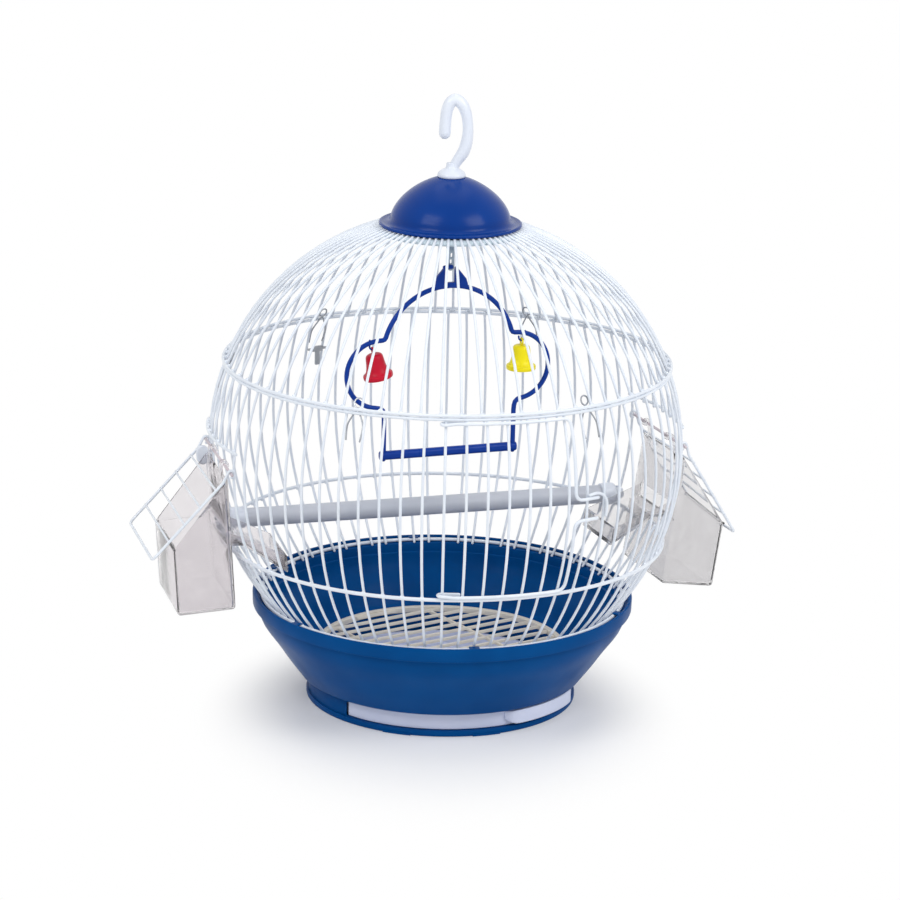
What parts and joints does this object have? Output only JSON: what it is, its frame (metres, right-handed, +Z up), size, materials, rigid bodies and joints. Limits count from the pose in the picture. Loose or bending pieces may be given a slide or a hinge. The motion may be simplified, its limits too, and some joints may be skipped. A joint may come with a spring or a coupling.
{
  "type": "canary cage",
  "caption": "Round white wire bird cage on a blue base with a slide-out tray, carrying hook, front door, outside feeders, perch and a swing with bells.",
  "frame": {"origin": "the middle of the base's underside", "axes": "+Z up along the cage's axis, -Y out of the door and the drawer, +X to the right as one faces the door"},
  "size_m": [0.4244, 0.3319, 0.4305],
  "materials": {
    "white_wire": "smooth white coating",
    "blue_base": "glossy blue",
    "blue_swing": "glossy blue",
    "white_tray": "satin white",
    "cream_grille": "matt cream",
    "white_plastic": "satin white",
    "clear_plastic": "clear, faintly grey",
    "clip_wire": "bright wire",
    "red_bell": "glossy red",
    "yellow_bell": "glossy yellow",
    "steel_clapper": "bright steel"
  },
  "bodies": {
    "cage": {"base_bowl": "blue_base", "floor_grille": "cream_grille", "lower_cage": "white_wire", "upper_dome": "white_wire", "ring_clip_1": "clip_wire", "ring_clip_2": "clip_wire", "ring_clip_3": "clip_wire", "ring_clip_4": "clip_wire", "ring_clip_5": "clip_wire", "ring_clip_6": "clip_wire", "cap": "blue_base", "crown_plate": "white_plastic", "swing_hanger": "clip_wire", "perch_tube": "white_plastic", "perch_cap_left": "white_plastic", "perch_cap_right": "white_plastic", "door_catch": "white_wire", "treat_clip": "clip_wire", "feeder_left": "clear_plastic", "feeder_right": "clear_plastic", "feeder_rail_left": "white_wire", "feeder_rail_right": "white_wire"},
    "drawer": {"tray": "white_tray"},
    "carrying_hook": {"hook": "white_plastic", "hook_nut": "white_plastic"},
    "door_panel": {"door": "white_wire"},
    "flap_left": {"feeder_flap_left": "white_wire"},
    "flap_right": {"feeder_flap_right": "white_wire"},
    "swing": {"swing_frame": "blue_swing", "swing_perch": "blue_swing"},
    "bell_red": {"bell_red": "red_bell"},
    "bell_yellow": {"bell_yellow": "yellow_bell"},
    "clapper_red": {"clapper_red": "steel_clapper"},
    "clapper_yellow": {"clapper_yellow": "steel_clapper"}
  },
  "joints": [
    {"name": "tray_slide", "type": "slide", "parent": "cage", "child": "drawer", "axis": [0, -1, 0], "range_m": [0, 0.13]},
    {"name": "hook_swivel", "type": "hinge", "parent": "cage", "child": "carrying_hook", "pos_m": [0, 0, 0.37249], "axis": [0, 0, 1], "continuous": true},
    {"name": "door_hinge", "type": "hinge", "parent": "cage", "child": "door_panel", "pos_m": [-0.03988, -0.14885, 0.1794], "axis": [0.004, 0.015, -0.9999], "range_deg": [0, 100]},
    {"name": "flap_left_hinge", "type": "hinge", "parent": "cage", "child": "flap_left", "pos_m": [-0.1617, 0, 0.1815], "axis": [0, 1, 0], "range_deg": [0, 110]},
    {"name": "flap_right_hinge", "type": "hinge", "parent": "cage", "child": "flap_right", "pos_m": [0.16108, 0.01409, 0.1815], "axis": [0.0872, -0.9962, 0], "range_deg": [0, 110]},
    {"name": "swing_hinge", "type": "hinge", "parent": "cage", "child": "swing", "pos_m": [0, 0, 0.31098], "axis": [0.9962, 0.0872, 0], "range_deg": [-35, 35]},
    {"name": "bell_red_hinge", "type": "hinge", "parent": "swing", "child": "bell_red", "pos_m": [-0.05479, -0.00479, 0.25397], "axis": [0.9962, 0.0872, 0], "range_deg": [-35, 35]},
    {"name": "clapper_red_hinge", "type": "hinge", "parent": "bell_red", "child": "clapper_red", "pos_m": [-0.05479, -0.00479, 0.24897], "axis": [0.9962, 0.0872, 0], "range_deg": [-15, 15]},
    {"name": "bell_yellow_hinge", "type": "hinge", "parent": "swing", "child": "bell_yellow", "pos_m": [0.05479, 0.00479, 0.25397], "axis": [0.9962, 0.0872, 0], "range_deg": [-35, 35]},
    {"name": "clapper_yellow_hinge", "type": "hinge", "parent": "bell_yellow", "child": "clapper_yellow", "pos_m": [0.05479, 0.00479, 0.24897], "axis": [0.9962, 0.0872, 0], "range_deg": [-15, 15]}
  ]
}
